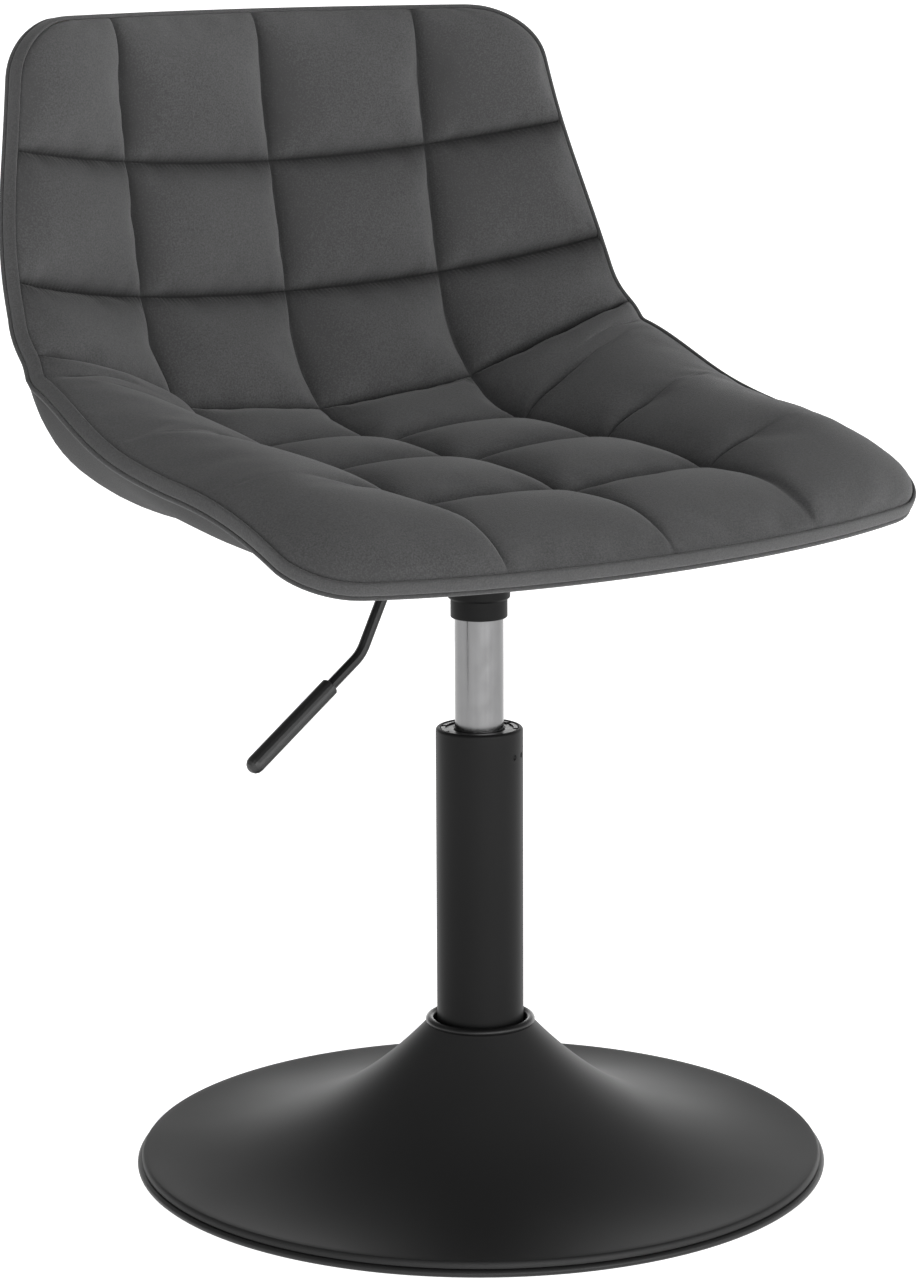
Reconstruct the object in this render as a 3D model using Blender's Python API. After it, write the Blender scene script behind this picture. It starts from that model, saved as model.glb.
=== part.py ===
"""Adjustable swivel stool: trumpet base, gas-lift column, lever plate and a curved padded seat.

The stool is modelled around the column's axis, with its front towards -Y and the lever on the -X side.
The origin is on the floor, under the column's axis.
"""
import math

import bmesh
import bpy
import numpy as np
from mathutils import Matrix, Vector

MM = 0.001
GAP = 0.3 * MM                 # clearance between pieces that touch

# Trumpet base
BASE_RADIUS = 195.5 * MM
BASE_RIM_HEIGHT = 8.5 * MM
BASE_RISE = 78.0 * MM          # from the rim to the virtual top of the neck
BASE_SWEEP = 2.44              # how quickly the trumpet flattens
BASE_WALL = 2.0 * MM
NECK_RADIUS = 26.7 * MM        # where the sweep would meet the column
NECK_OPENING = 30.8 * MM
FLOOR_PAD_HEIGHT = 4.2 * MM
WEIGHT_RADIUS = 118.0 * MM
WEIGHT_BOTTOM = 10.4 * MM
WEIGHT_TOP = 15.4 * MM

# Column
TUBE_RADIUS = 25.0 * MM
TUBE_BORE = 22.4 * MM
TUBE_BOTTOM = WEIGHT_TOP + GAP
TUBE_TOP = 256.3 * MM
END_PLATE_TOP = 35.0 * MM

# Gas spring, at mid stroke
CYLINDER_RADIUS = 14.0 * MM
CYLINDER_BORE = 11.5 * MM
CYLINDER_BOTTOM = 116.5 * MM
CYLINDER_TOP = 355.0 * MM
CYLINDER_CEILING = 343.0 * MM
ROD_RADIUS = 5.0 * MM
ROD_SHOULDER = 199.0 * MM
VALVE_RADIUS = 3.2 * MM
VALVE_TOP = 359.4 * MM

# Lever mechanism
SOCKET_BOTTOM = 320.0 * MM
SOCKET_RADIUS = 16.25 * MM
PLATE_BOTTOM = 368.0 * MM
PLATE_TOP = 371.0 * MM
PLATE_HALF = 80.0 * MM
BOLT_SPACING = 60.0 * MM       # from the axis, both ways
LEVER_RADIUS = 3.25 * MM
LEVER_HEIGHT = 363.0 * MM
PIVOT_X = -26.0 * MM
LEVER_ELBOW = (-56.3 * MM, LEVER_HEIGHT)
LEVER_KNEE = (-83.4 * MM, 309.2 * MM)
LEVER_SLOPE = math.radians(35.8)
GRIP_START = 26.0 * MM         # from the knee, along the last stretch
GRIP_END = 94.0 * MM
GRIP_RADIUS = 5.2 * MM

# Seat's centre line, from the top of the back, round the bend and out to the front edge
BACK_TOP = (215.0 * MM, 653.0 * MM)     # y and z where it starts
BACK_SLOPE = math.radians(79.0)         # below the horizontal
STRETCHES = (                           # each one's length, and how much steeper it gets on the way
    (184.0 * MM, 0.0),                      # straight back
    (107.0 * MM, math.radians(-77.0)),      # bend
    (145.0 * MM, 0.0),                      # flat seat
    (130.0 * MM, math.radians(17.0)),       # rolled front
)
# Rows across the seat, from the top of the back to the front edge, in millimetres
ROW_PLACES = (0.0, 88.0, 166.0, 242.0, 304.0, 379.0, 471.0, 566.0)   # down the centre line
HALF_WIDTHS = (182.0, 195.0, 209.0, 213.0, 216.0, 220.0, 219.0, 218.0)
WINGS = (38.0, 36.0, 43.0, 58.0, 52.0, 29.0, 14.0, -5.0)     # how high the side edges stand
SWEEPS = (-8.0, 10.0, 15.0, 7.0, 10.0, 21.0, 21.0, 30.0)     # how far they lag behind the centre line
ROUNDNESS = (1.0, 1.0, 0.75, 0.8, 0.1, 0.1, 0.4, 0.8)        # 1 is an even curve, 0 one that rises late
COVER_DEPTHS = (9.0, 18.0, 25.0, 35.0, 37.0, 31.0, 34.0, 10.0)
BACK_CORNER = 39.0 * MM
FRONT_CORNER = 30.0 * MM
EDGE_FADE = 36.0 * MM          # width over which the layers thin towards the edge
PAD_CROWN = 8.5 * MM
BOLSTER_CROWN = 7.0 * MM       # what the seat's side cushions stand above the rest
BOLSTER_X = (90.0 * MM, 150.0 * MM)     # they rise over this stretch across
BOLSTER_S = (210.0 * MM, 300.0 * MM)    # and over this stretch down the seat
PAD_DEPTH = (3.0 * MM, 8.0 * MM)        # below the seam level: at the edge, inside
SHELL_DEPTH = (6.6 * MM, 16.3 * MM)
COVER_RIM = 8.0 * MM
COVER_BOTTOM = PLATE_TOP + GAP
SKIN = 1.4 * MM
BAND_DEPTH = 7.5 * MM
BAND_OFFSET = 0.7 * MM
BAND_WALL = 2.2 * MM
FLARE = 0.2                    # how far the band leans outwards at the bend
FLARE_FROM, FLARE_TO = 200.0 * MM, 460.0 * MM      # distance down the seat
BOARD_HALF_X = 84.0 * MM
BOARD_FRONT, BOARD_BACK = -74.0 * MM, 80.0 * MM
COLUMNS = 14
SIDES = 40


# ---- helpers -------------------------------------------------------------------------------------

def clear_scene():
    for item in list(bpy.data.objects):
        bpy.data.objects.remove(item, do_unlink=True)


def material(name, colour, roughness, metallic=0.0):
    made = bpy.data.materials.new(name)
    made.use_nodes = True
    shader = made.node_tree.nodes["Principled BSDF"]
    shader.inputs["Base Color"].default_value = (*colour, 1.0)
    shader.inputs["Roughness"].default_value = roughness
    shader.inputs["Metallic"].default_value = metallic
    return made


def empty(name, parent=None, location=(0, 0, 0)):
    made = bpy.data.objects.new(name, None)
    bpy.context.collection.objects.link(made)
    made.parent = parent
    made.location = location
    return made


def keep(name, mesh_data, finish, parent, smooth=35):
    """Turns a bmesh into a named piece whose mesh is written about the column's axis."""
    bmesh.ops.remove_doubles(mesh_data, verts=mesh_data.verts, dist=1e-6)
    bmesh.ops.recalc_face_normals(mesh_data, faces=mesh_data.faces)
    mesh = bpy.data.meshes.new(name)
    mesh_data.to_mesh(mesh)
    mesh_data.free()
    mesh.shade_smooth()
    mesh.set_sharp_from_angle(angle=math.radians(smooth))
    mesh.materials.append(finish)
    made = bpy.data.objects.new(name, mesh)
    bpy.context.collection.objects.link(made)
    made.parent = parent
    made.location = offset_to_axis(parent)
    return made


def offset_to_axis(parent):
    """The stool frame's origin, as seen from an empty inside it."""
    return -parent.location if parent.name != "stool" else Vector()


def cutter(mesh_data, parent):
    made = keep("cutter", mesh_data, CUT, parent)
    made.hide_render = True
    made.display_type = "WIRE"
    return made


def combine(piece, other, operation):
    change = piece.modifiers.new(operation.lower(), "BOOLEAN")
    change.operation = operation
    change.solver = "EXACT"
    change.object = other


def lathe_mesh(outline, sides=SIDES):
    """Spins a closed outline of (radius, height) points, in millimetres, about Z."""
    made = bmesh.new()
    corners = [made.verts.new((r * MM, 0.0, z * MM)) for r, z in outline]
    edges = [made.edges.new((a, b)) for a, b in zip(corners, corners[1:] + corners[:1])]
    on_axis = [e for e in edges if all(v.co.x < 1e-7 for v in e.verts)]
    for edge in on_axis:
        made.edges.remove(edge)
        edges.remove(edge)
    bmesh.ops.spin(
        made, geom=corners + edges, cent=(0, 0, 0), axis=(0, 0, 1),
        angle=math.tau, steps=sides, use_merge=True,
    )
    bmesh.ops.remove_doubles(made, verts=made.verts, dist=1e-6)
    return made


def lathe(name, outline, finish, parent, sides=SIDES):
    return keep(name, lathe_mesh(outline, sides), finish, parent)


def tube_outline(inner, outer, bottom, top, chamfer=0.0):
    """A washer, bush or tube section, with its outer corners chamfered."""
    c = chamfer
    if not c:
        return [(inner, bottom), (outer, bottom), (outer, top), (inner, top)]
    return [
        (inner, bottom), (outer - c, bottom), (outer, bottom + c),
        (outer, top - c), (outer - c, top), (inner, top),
    ]


def box_mesh(low, high):
    made = bmesh.new()
    bmesh.ops.create_cube(made, size=1.0)
    size = Vector(high) - Vector(low)
    bmesh.ops.scale(made, vec=size, verts=made.verts)
    bmesh.ops.translate(made, vec=(Vector(low) + Vector(high)) / 2, verts=made.verts)
    return made


def rod_mesh(radius, low, high, centre=(0, 0), sides=20):
    """A plain upright cylinder."""
    made = bmesh.new()
    bmesh.ops.create_cone(
        made, cap_ends=True, segments=sides, radius1=radius, radius2=radius, depth=high - low,
        matrix=Matrix.Translation((centre[0], centre[1], (low + high) / 2)),
    )
    return made


def turn_to_y(made, centre):
    """Lays an upright bmesh along Y and moves it to a centre."""
    move = Matrix.Translation(centre) @ Matrix.Rotation(math.radians(-90), 4, "X")
    bmesh.ops.transform(made, matrix=move, verts=made.verts)
    return made


def prism_mesh(outline, low, high, plane):
    """Extrudes a closed outline of (a, b) points: plane "XY" runs up Z, and plane "YZ" runs along X."""
    made = bmesh.new()
    lift = (lambda a, b, c: (a, b, c)) if plane == "XY" else (lambda a, b, c: (c, a, b))
    face = made.faces.new([made.verts.new(lift(a, b, low)) for a, b in outline])
    extruded = bmesh.ops.extrude_face_region(made, geom=[face])
    moved = [item for item in extruded["geom"] if isinstance(item, bmesh.types.BMVert)]
    bmesh.ops.translate(made, vec=Vector(lift(0, 0, high - low)), verts=moved)
    return made


def rounded_rectangle(half_x, half_y, radius, steps=5):
    points = []
    for quarter, (sx, sy) in enumerate(((1, 1), (-1, 1), (-1, -1), (1, -1))):
        for step in range(steps + 1):
            angle = math.radians(90) * (quarter + step / steps)
            points.append((
                sx * (half_x - radius) + radius * math.cos(angle),
                sy * (half_y - radius) + radius * math.sin(angle),
            ))
    return points


def hexagon(across_flats):
    radius = across_flats / 2 / math.cos(math.radians(30))
    return [(radius * math.cos(math.tau * k / 6), radius * math.sin(math.tau * k / 6)) for k in range(6)]


# ---- trumpet base --------------------------------------------------------------------------------

def trumpet_height(radius):
    t = (radius - NECK_RADIUS) / (BASE_RADIUS - NECK_RADIUS)
    return BASE_RIM_HEIGHT + BASE_RISE * (1.0 - t) ** BASE_SWEEP


def trumpet_outline(steps=13):
    """Outer face from the rim to the neck, then the inner face back down, a wall's thickness inside."""
    radii = [NECK_OPENING + (BASE_RADIUS - NECK_OPENING) * (k / steps) ** 1.6 for k in range(steps + 1)]
    outer = [(r, trumpet_height(r)) for r in reversed(radii)]
    inner = []
    for r, z in reversed(outer):
        slope = (trumpet_height(r) - trumpet_height(r - MM)) / MM
        length = math.hypot(1.0, slope)
        inner.append((r + BASE_WALL * slope / length, z - BASE_WALL / length))
    rim_bottom = FLOOR_PAD_HEIGHT + GAP
    rim = [(BASE_RADIUS + 1.4 * MM, rim_bottom), (BASE_RADIUS + 1.4 * MM, BASE_RIM_HEIGHT - 1.6 * MM)]
    inner_rim = [(BASE_RADIUS - 1.6 * MM, rim_bottom)]
    inner[-1] = (BASE_RADIUS - 1.6 * MM, BASE_RIM_HEIGHT - 2.2 * MM)
    return [(r / MM, z / MM) for r, z in rim + outer + inner + inner_rim]


def make_base(root):
    lathe("base_shell", trumpet_outline(), BLACK_PAINT, root, 48)
    lathe("floor_pad", [
        (0.0, 0.0), (198.2, 0.0), (199.5, 1.2), (199.5, 3.2), (198.6, FLOOR_PAD_HEIGHT / MM),
        (0.0, FLOOR_PAD_HEIGHT / MM),
    ], RUBBER, root, 48)
    lathe("base_weight", tube_outline(6.0, WEIGHT_RADIUS / MM, WEIGHT_BOTTOM / MM, WEIGHT_TOP / MM, 0.8),
          CAST_STEEL, root)
    lathe("neck_ring", [
        (25.5, 75.0), (28.4, 75.0), (28.4, 82.2), (31.0, 82.2), (31.4, 83.4), (31.0, 84.9),
        (29.7, 85.9), (27.8, 85.9), (26.5, 84.8), (26.0, 82.0), (25.5, 81.0),
    ], GLOSS_PLASTIC, root)
    foot_bolt = keep("foot_bolt", prism_mesh(hexagon(17.0 * MM), 4.5 * MM, 8.0 * MM, "XY"), ZINC, root)
    combine(foot_bolt, cutter(rod_mesh(4.1 * MM, 7.0 * MM, 24.0 * MM), root), "UNION")
    lathe("foot_washer", tube_outline(4.6, 12.0, 8.3, 10.1), ZINC, root, 24)


# ---- column and bearing --------------------------------------------------------------------------

def make_column(root):
    bore, outer, bottom, top = (length / MM for length in (TUBE_BORE, TUBE_RADIUS, TUBE_BOTTOM, TUBE_TOP))
    lathe("column_tube", [
        (bore, bottom), (outer, bottom), (outer, top - 1.5), (outer - 0.4, top - 0.5),
        (outer - 1.4, top), (outer - 2.0, top), (bore, top - 0.6),
    ], BLACK_PAINT, root)
    lathe("column_foot", tube_outline(4.4, 22.1, bottom, 24.5, 0.6), CAST_STEEL, root, 32)
    lathe("column_end_plate", tube_outline(5.3, 22.1, 31.0, END_PLATE_TOP / MM), CAST_STEEL, root, 32)
    lathe("guide_bush", [
        (14.3, 150.0), (21.2, 150.0), (22.1, 152.0), (22.1, 254.4), (16.6, 254.4), (15.2, 251.4),
        (14.3, 250.6),
    ], BLACK_PLASTIC, root)
    lathe("bush_retainer", tube_outline(19.2, 22.0, 254.7, 255.7, 0.2), ZINC, root)
    lathe("bearing_lower_race", tube_outline(5.4, 12.0, 35.3, 37.5, 0.3), BEARING_STEEL, root, 32)


def make_spindle(root):
    rod, shoulder = ROD_RADIUS / MM, ROD_SHOULDER / MM
    lathe("piston_rod", [
        (0.0, 24.8), (rod - 0.6, 24.8), (rod, 25.4), (rod, 26.3), (rod - 1.0, 26.3), (rod - 1.0, 28.2),
        (rod, 28.2), (rod, shoulder), (3.5, shoulder), (3.5, 214.0), (3.0, 214.5), (0.0, 214.5),
    ], CHROME, root, 24)
    clip = lathe("rod_clip", tube_outline(4.3, 8.0, 26.6, 27.9), ZINC, root, 24)
    combine(clip, cutter(box_mesh((3.0 * MM, -1.6 * MM, 26.0 * MM), (9.0 * MM, 1.6 * MM, 28.5 * MM)), root),
            "DIFFERENCE")
    lathe("rod_washer", tube_outline(5.3, 11.0, 28.5, 30.7), ZINC, root, 24)
    make_ball_cage(root)
    lathe("bearing_upper_race", tube_outline(5.4, 12.0, 41.9, 44.1, 0.3), BEARING_STEEL, root, 32)
    lathe("rubber_bumper", [
        (5.4, 44.4), (10.4, 44.4), (11.0, 46.0), (9.6, 50.4), (11.0, 54.8), (10.4, 56.4), (5.4, 56.4),
    ], RUBBER, root, 24)
    lathe("piston_head", [
        (3.8, 199.3), (11.2, 199.3), (11.2, 202.6), (10.3, 203.2), (10.3, 205.4), (11.2, 206.0),
        (11.2, 209.3), (3.8, 209.3),
    ], BLACK_PLASTIC, root, 32)
    nut = keep("piston_nut", prism_mesh(hexagon(11.0 * MM), 209.6 * MM, 213.6 * MM, "XY"), ZINC, root)
    combine(nut, cutter(rod_mesh(3.8 * MM, 208.0 * MM, 216.0 * MM), root), "DIFFERENCE")


def make_ball_cage(root, balls=8, circle=8.75 * MM, radius=1.9 * MM, height=39.7 * MM):
    cage = lathe("bearing_ball_cage", tube_outline(6.2, 11.3, 39.0, 40.4), BRASS, root, 32)
    made = bmesh.new()
    for k in range(balls):
        angle = math.tau * k / balls
        place = Matrix.Translation((circle * math.cos(angle), circle * math.sin(angle), height))
        bmesh.ops.create_icosphere(made, subdivisions=2, radius=radius, matrix=place)
    combine(cage, cutter(made, root), "UNION")


# ---- gas cylinder and socket ---------------------------------------------------------------------

def make_cylinder(lift):
    bore, outer, ceiling = CYLINDER_BORE / MM, CYLINDER_RADIUS / MM, CYLINDER_CEILING / MM
    bottom, top = CYLINDER_BOTTOM / MM, CYLINDER_TOP / MM
    lathe("gas_cylinder", [
        (bore, bottom), (outer - 0.8, bottom), (outer, bottom + 0.8), (outer, 330.0), (12.8, 353.0),
        (11.6, top), (3.6, top), (3.6, ceiling), (bore, ceiling),
    ], CHROME, lift)
    lathe("cylinder_gland", tube_outline(5.3, 11.2, 117.0, 129.0, 0.5), BRASS, lift, 32)
    lathe("rod_seal", tube_outline(5.3, 11.2, 129.3, 133.3, 0.4), RUBBER, lift, 32)
    socket, foot = SOCKET_RADIUS / MM, SOCKET_BOTTOM / MM
    lathe("taper_socket", [
        (14.35, foot), (socket - 1.0, foot), (socket - 0.3, foot + 0.5), (socket, foot + 1.5),
        (socket, 330.5), (17.8, 332.0), (17.8, 347.6), (15.9, 347.6), (15.9, 353.5), (13.2, 353.5),
        (14.35, 330.4),
    ], BLACK_PAINT, lift)


def make_valve_pin(valve):
    pin, top = VALVE_RADIUS / MM, VALVE_TOP / MM
    lathe("valve_pin", [
        (0.0, 336.0), (4.6, 336.0), (4.6, 342.4), (pin, 342.4), (pin, top - 0.8), (pin - 0.6, top),
        (0.0, top),
    ], CHROME, valve, 20)


# ---- seat plate and lever ------------------------------------------------------------------------

def make_plate(lift):
    outline = rounded_rectangle(PLATE_HALF, PLATE_HALF, 10.0 * MM)
    plate = keep("seat_plate", prism_mesh(outline, PLATE_BOTTOM, PLATE_TOP, "XY"), BLACK_PAINT, lift)
    for side in (-1, 1):
        low, high = sorted((side * 8.0 * MM, side * 10.2 * MM))
        ear = box_mesh((PIVOT_X - 7 * MM, low, 357.4 * MM), (PIVOT_X + 7 * MM, high, 369.0 * MM))
        combine(plate, cutter(ear, lift), "UNION")
    pin_hole = turn_to_y(rod_mesh(2.4 * MM, -14 * MM, 14 * MM), (PIVOT_X, 0, LEVER_HEIGHT))
    combine(plate, cutter(pin_hole, lift), "DIFFERENCE")
    for x, y in bolt_places():
        hole = rod_mesh(3.3 * MM, PLATE_BOTTOM - MM, PLATE_TOP + MM, (x, y), 16)
        combine(plate, cutter(hole, lift), "DIFFERENCE")
    make_bridge(lift)
    make_pivot_pin(lift)


def make_bridge(lift):
    """The hat-shaped strap that holds the taper socket under the plate and lets the lever through."""
    top, web = PLATE_BOTTOM - GAP, 347.9 * MM
    half, foot, wall = 31.5 * MM, 41.0 * MM, 2.5 * MM
    outline = [
        (-foot, top), (-foot, top - wall), (-half, top - wall), (-half, web), (half, web),
        (half, top - wall), (foot, top - wall), (foot, top), (half - wall, top),
        (half - wall, web + wall), (wall - half, web + wall), (wall - half, top),
    ]
    bridge = keep("lever_bridge", prism_mesh(outline, -27 * MM, 27 * MM, "YZ"), BLACK_PAINT, lift)
    combine(bridge, cutter(rod_mesh(16.3 * MM, web - MM, web + 2 * wall, sides=32), lift), "DIFFERENCE")


def make_pivot_pin(lift):
    made = lathe_mesh([
        (0, -12.6), (2.1, -12.6), (2.1, 10.6), (3.4, 10.6), (3.4, 12.0), (2.8, 12.6), (0, 12.6),
    ], 16)
    keep("lever_pivot_pin", turn_to_y(made, (PIVOT_X, 0, LEVER_HEIGHT)), ZINC, lift)


def bolt_places():
    return [(x * BOLT_SPACING, y * BOLT_SPACING) for x in (-1, 1) for y in (-1, 1)]


def lever_direction():
    return Vector((-math.cos(LEVER_SLOPE), 0, -math.sin(LEVER_SLOPE)))


def bent_path(corners, radius, steps=6):
    """A run of straight lines in the XZ plane whose inner corners are arcs."""
    points = [corners[0]]
    for before, corner, after in zip(corners, corners[1:], corners[2:]):
        back = (before - corner).normalized()
        on = (after - corner).normalized()
        half = back.angle(on) / 2
        reach = radius / math.tan(half)
        centre = corner + (back + on).normalized() * (radius / math.sin(half))
        start = corner + back * reach - centre
        turn = start.rotation_difference(corner + on * reach - centre)
        for k in range(steps + 1):
            step = Matrix.Rotation(turn.angle * k / steps, 3, turn.axis)
            points.append(centre + step @ start)
    return points + [corners[-1]]


def swept_mesh(points, radius, sides=12):
    """A round rod along a path in the XZ plane, with flat ends."""
    made = bmesh.new()
    rings = []
    for k, point in enumerate(points):
        ahead = points[min(k + 1, len(points) - 1)] - points[max(k - 1, 0)]
        out = ahead.normalized().cross(Vector((0, 1, 0)))
        rings.append([
            made.verts.new(point + radius * (math.cos(a) * out + math.sin(a) * Vector((0, 1, 0))))
            for a in (math.tau * i / sides for i in range(sides))
        ])
    for first, second in zip(rings, rings[1:]):
        for i in range(sides):
            j = (i + 1) % sides
            made.faces.new((first[i], first[j], second[j], second[i]))
    made.faces.new(rings[0])
    made.faces.new(reversed(rings[-1]))
    return made


def make_lever(lever):
    knee = Vector((LEVER_KNEE[0], 0, LEVER_KNEE[1]))
    corners = [
        Vector((4.2 * MM, 0, LEVER_HEIGHT)),
        Vector((LEVER_ELBOW[0], 0, LEVER_ELBOW[1])),
        knee,
        knee + lever_direction() * (GRIP_END - 12 * MM),
    ]
    rod = keep("lever_rod", swept_mesh(bent_path(corners, 22 * MM), LEVER_RADIUS), BLACK_PAINT, lever)
    sleeve = turn_to_y(rod_mesh(4.6 * MM, -7.2 * MM, 7.2 * MM), (PIVOT_X, 0, LEVER_HEIGHT))
    combine(rod, cutter(sleeve, lever), "UNION")
    bore = turn_to_y(rod_mesh(2.4 * MM, -9 * MM, 9 * MM), (PIVOT_X, 0, LEVER_HEIGHT))
    combine(rod, cutter(bore, lever), "DIFFERENCE")
    make_grip(lever, knee)


def make_grip(lever, knee):
    length, radius = (GRIP_END - GRIP_START) / MM, GRIP_RADIUS / MM
    outline = [(3.55, 0.0), (radius - 0.5, 0.0), (radius, 0.6), (radius, length - radius)]
    outline += [
        (radius * math.cos(a), length - radius + radius * math.sin(a))
        for a in (math.radians(90 * k / 4) for k in range(1, 4))
    ]
    outline += [(0.0, length), (0.0, length - 11.5), (3.55, length - 11.5)]
    made = lathe_mesh(outline, 20)
    turn = Vector((0, 0, 1)).rotation_difference(lever_direction()).to_matrix().to_4x4()
    place = Matrix.Translation(knee + lever_direction() * GRIP_START) @ turn
    bmesh.ops.transform(made, matrix=place, verts=made.verts)
    keep("lever_grip", made, BLACK_PLASTIC, lever)


def make_fasteners(lift):
    for number, (x, y) in enumerate(bolt_places(), 1):
        move = Matrix.Translation((x, y, 0))
        head = prism_mesh(hexagon(10.0 * MM), 363.7 * MM, PLATE_BOTTOM - GAP, "XY")
        bmesh.ops.transform(head, matrix=move, verts=head.verts)
        bolt = keep(f"seat_bolt_{number}", head, ZINC, lift)
        shank = rod_mesh(2.6 * MM, 366.0 * MM, 380.0 * MM, (x, y), 12)
        combine(bolt, cutter(shank, lift), "UNION")
        nut = lathe_mesh([
            (2.9, 374.0), (3.9, 374.0), (3.9, 382.3), (9.0, 382.3), (9.0, 383.8), (2.9, 383.8),
        ], 16)
        bmesh.ops.transform(nut, matrix=move, verts=nut.verts)
        keep(f"tee_nut_{number}", nut, ZINC, lift)


# ---- seat surface --------------------------------------------------------------------------------

def natural_spline(knots, values):
    """The natural cubic through the values, as a function of the distance down the seat."""
    count = len(knots)
    steps = np.diff(knots)
    system, right = np.eye(count), np.zeros(count)
    for k in range(1, count - 1):
        system[k, k - 1:k + 2] = steps[k - 1], 2 * (steps[k - 1] + steps[k]), steps[k]
        slopes = np.diff(values[k - 1:k + 2]) / steps[k - 1:k + 1]
        right[k] = 6 * (slopes[1] - slopes[0])
    bends = np.linalg.solve(system, right)

    def read(at):
        k = int(np.clip(np.searchsorted(knots, at) - 1, 0, count - 2))
        h, b, a = steps[k], (at - knots[k]) / steps[k], (knots[k + 1] - at) / steps[k]
        curve = ((a ** 3 - a) * bends[k] + (b ** 3 - b) * bends[k + 1]) * h * h / 6
        return a * values[k] + b * values[k + 1] + curve
    return read


def ease(value, stretch):
    """Runs smoothly from 0 to 1 over a stretch of values."""
    t = min(max((value - stretch[0]) / (stretch[1] - stretch[0]), 0.0), 1.0)
    return t * t * (3 - 2 * t)


def centre_line(s):
    """y, z and the slope at a distance down the seat's centre line."""
    y, z = BACK_TOP
    slope = BACK_SLOPE
    for length, turn in STRETCHES:
        run = min(max(s, 0.0), length)
        bend = turn * run / length
        chord = run * float(np.sinc(bend / math.tau))
        y -= chord * math.cos(slope + bend / 2)
        z -= chord * math.sin(slope + bend / 2)
        slope += bend
        s -= length
    return y, z, slope


class SeatSurface:
    """The level of the seat's seams. x runs across, and s down the back and out to the front edge."""

    def __init__(self):
        places = np.array(ROW_PLACES) * MM
        self.length = float(places[-1])
        self.edge, self.wing, self.sweep, self.depth = (
            natural_spline(places, np.array(values) * MM)
            for values in (HALF_WIDTHS, WINGS, SWEEPS, COVER_DEPTHS)
        )
        self.roundness = natural_spline(places, np.array(ROUNDNESS))

    def half_width(self, s):
        """Half the seat's width, with its four corners rounded."""
        width = self.edge(s)
        for distance, radius in ((s, BACK_CORNER), (self.length - s, FRONT_CORNER)):
            if distance < radius:
                width -= radius - math.sqrt(radius ** 2 - (radius - distance) ** 2)
        return width

    def point(self, x, s):
        y, z, slope = centre_line(s)
        u = (x / self.edge(s)) ** 2
        share = u * u + self.roundness(s) * (u - u * u)
        wing, sweep = self.wing(s) * share, self.sweep(s) * share
        back, up = math.cos(slope), math.sin(slope)
        return Vector((x, y + sweep * back - wing * up, z + sweep * up + wing * back))

    def normal(self, x, s):
        step = 0.5 * MM
        low, high = max(s - step, 0.0), min(s + step, self.length)
        across = self.point(x + step, s) - self.point(x - step, s)
        along = self.point(x, high) - self.point(x, low)
        return along.cross(across).normalized()

    def flare(self, s):
        if not FLARE_FROM < s < FLARE_TO:
            return 0.0
        return FLARE * math.sin(math.pi * (s - FLARE_FROM) / (FLARE_TO - FLARE_FROM)) ** 2

    def layer_point(self, x, s, depth):
        """A point at a depth under the seam level, led outwards near the sides where the band flares."""
        width = self.half_width(s)
        lean = self.flare(s) * min(max(depth, 0.0), BAND_DEPTH) * (abs(x) / width) ** 10
        base = self.point(x, s) - self.normal(x, s) * depth
        across = (self.point(x + 0.5 * MM, s) - self.point(x - 0.5 * MM, s)).normalized()
        return base + across * math.copysign(lean, x)

    def fade(self, x, s):
        """0 at the outline and 1 well inside it."""
        return ease(min(self.half_width(s) - abs(x), s, self.length - s), (0.0, EDGE_FADE))

    def beside(self, x, s):
        """0 along the middle and up the back, and 1 at the seat's side cushions."""
        return ease(abs(x), BOLSTER_X) * ease(s, BOLSTER_S)

    def stations(self):
        """Distances down the seat: close together round the corners, even between them."""
        ends = [1 - math.cos(math.radians(90 * k / 4)) for k in range(4)]
        top = [BACK_CORNER * e for e in ends]
        front = [self.length - FRONT_CORNER * e for e in reversed(ends)]
        first, last, count = BACK_CORNER, self.length - FRONT_CORNER, 14
        return top + [first + (last - first) * k / count for k in range(count + 1)] + front


def between(pair, fade):
    return pair[0] + (pair[1] - pair[0]) * fade


def pad_top(seat, x, s):
    return -(PAD_CROWN + BOLSTER_CROWN * seat.beside(x, s)) * seat.fade(x, s)


def pad_bottom(seat, x, s):
    return between(PAD_DEPTH, seat.fade(x, s))


def shell_top(seat, x, s):
    return pad_bottom(seat, x, s) + GAP


def shell_bottom(seat, x, s):
    return between(SHELL_DEPTH, seat.fade(x, s))


def cover_top(seat, x, s):
    return shell_bottom(seat, x, s) + GAP


def cover_bottom(seat, x, s):
    deep = max(seat.depth(s), SHELL_DEPTH[1] + 2 * MM)
    side = 1 - (abs(x) / seat.half_width(s)) ** 8
    ends = min(1.0, min(s, seat.length - s) / (1.2 * EDGE_FADE))
    return COVER_RIM + (deep - COVER_RIM) * side * math.sin(math.pi / 2 * ends)


def layer_mesh(seat, upper, lower, floor=None):
    """A closed slab between two depths, on a grid of rows down the seat and columns across it."""
    made = bmesh.new()
    sheets = []
    for depth in (upper, lower):
        sheet = []
        for s in seat.stations():
            width = seat.half_width(s)
            places = [width * (2 * k / COLUMNS - 1) for k in range(COLUMNS + 1)]
            points = [seat.layer_point(x, s, depth(seat, x, s)) for x in places]
            if floor is not None and depth is lower:
                points = rest_on(points, sheets[0][len(sheet)], floor)
            sheet.append([made.verts.new(p) for p in points])
        sheets.append(sheet)
    for sheet in sheets:
        for a, b in zip(sheet, sheet[1:]):
            for k in range(COLUMNS):
                made.faces.new((a[k], a[k + 1], b[k + 1], b[k]))
    rims = [outline_of(sheet) for sheet in sheets]
    for k in range(len(rims[0])):
        j = (k + 1) % len(rims[0])
        made.faces.new((rims[0][k], rims[0][j], rims[1][j], rims[1][k]))
    bmesh.ops.triangulate(made, faces=made.faces)
    return made


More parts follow.
